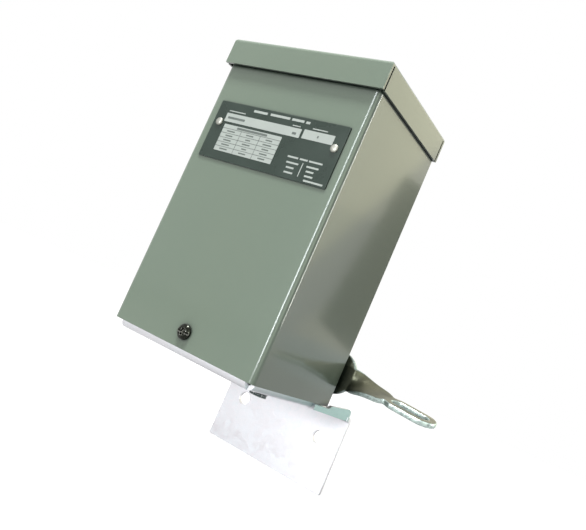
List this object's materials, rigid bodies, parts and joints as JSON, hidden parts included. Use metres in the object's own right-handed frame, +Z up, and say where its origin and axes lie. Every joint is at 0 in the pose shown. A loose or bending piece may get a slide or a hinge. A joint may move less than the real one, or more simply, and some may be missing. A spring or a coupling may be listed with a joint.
{
  "type": "float level switch",
  "caption": "Wall-mounted float level switch: folded steel box with a rain hood, a mounting flange, and a twisted side lever whose oblong eye takes a float rod.",
  "frame": {"origin": "midway between the two mounting holes, on the face of the mounting flange that meets the wall", "axes": "+Z up, +Y into the wall, -Y out of the cover's front, +X towards the lever's eye"},
  "size_m": [0.1633, 0.1041, 0.2225],
  "materials": {
    "enclosure_paint": "semi-gloss grey-green enamel",
    "galvanised_sheet": "spangled zinc coating",
    "inner_sheet": "plain zinc coating",
    "lever_steel": "bright zinc plate on stamped steel",
    "plated_hardware": "zinc plated",
    "black_hardware": "black oxide",
    "rivet_metal": "plain",
    "plate_face": "satin dark slate",
    "shaft_steel": "turned",
    "bearing_bronze": "sintered",
    "contact_brass": "plain",
    "moulded_black": "moulded phenolic",
    "spring_steel": "plain wire"
  },
  "bodies": {
    "enclosure": {"cover": "enclosure_paint", "top_hood": "enclosure_paint", "hood_rivets": "rivet_metal", "back_plate": "inner_sheet", "base_pan": "galvanised_sheet", "nameplate": "plate_face", "nameplate_rivets": "rivet_metal", "cover_screw": "black_hardware", "ground_screw": "black_hardware", "ground_nut": "plated_hardware", "rear_bush": "bearing_bronze", "front_bush": "bearing_bronze", "mechanism_frame": "inner_sheet", "frame_rivets": "rivet_metal", "stop_pins": "shaft_steel", "rocker_pin": "shaft_steel", "rocker_spacers": "plated_hardware", "return_spring": "spring_steel", "contact_block": "moulded_black", "fixed_contacts": "contact_brass", "terminal_screws": "plated_hardware", "block_screws": "plated_hardware"},
    "lever": {"pivot_shaft": "shaft_steel", "shaft_spacer": "plated_hardware", "lever_arm": "lever_steel", "lever_washer": "plated_hardware", "lever_nut": "plated_hardware", "drive_arm": "plated_hardware", "roll_pin": "spring_steel", "drive_pin": "shaft_steel"},
    "rocker": {"contact_rocker": "moulded_black", "contact_bridges": "contact_brass", "contact_springs": "spring_steel"}
  },
  "joints": [
    {"name": "lever_swing", "type": "hinge", "parent": "enclosure", "child": "lever", "pos_m": [0.025, -0.04, 0.0399], "axis": [0, -1, 0], "range_deg": [0, 22]},
    {"name": "rocker_tilt", "type": "hinge", "parent": "enclosure", "child": "rocker", "pos_m": [-0.027, -0.0359, 0.0399], "axis": [0, -1, 0], "range_deg": [-11.5, 0], "deforming": ["return_spring"]}
  ],
  "couplings": [
    {"joint": "rocker_tilt", "follows": "lever_swing", "ratio": -0.5193}
  ]
}
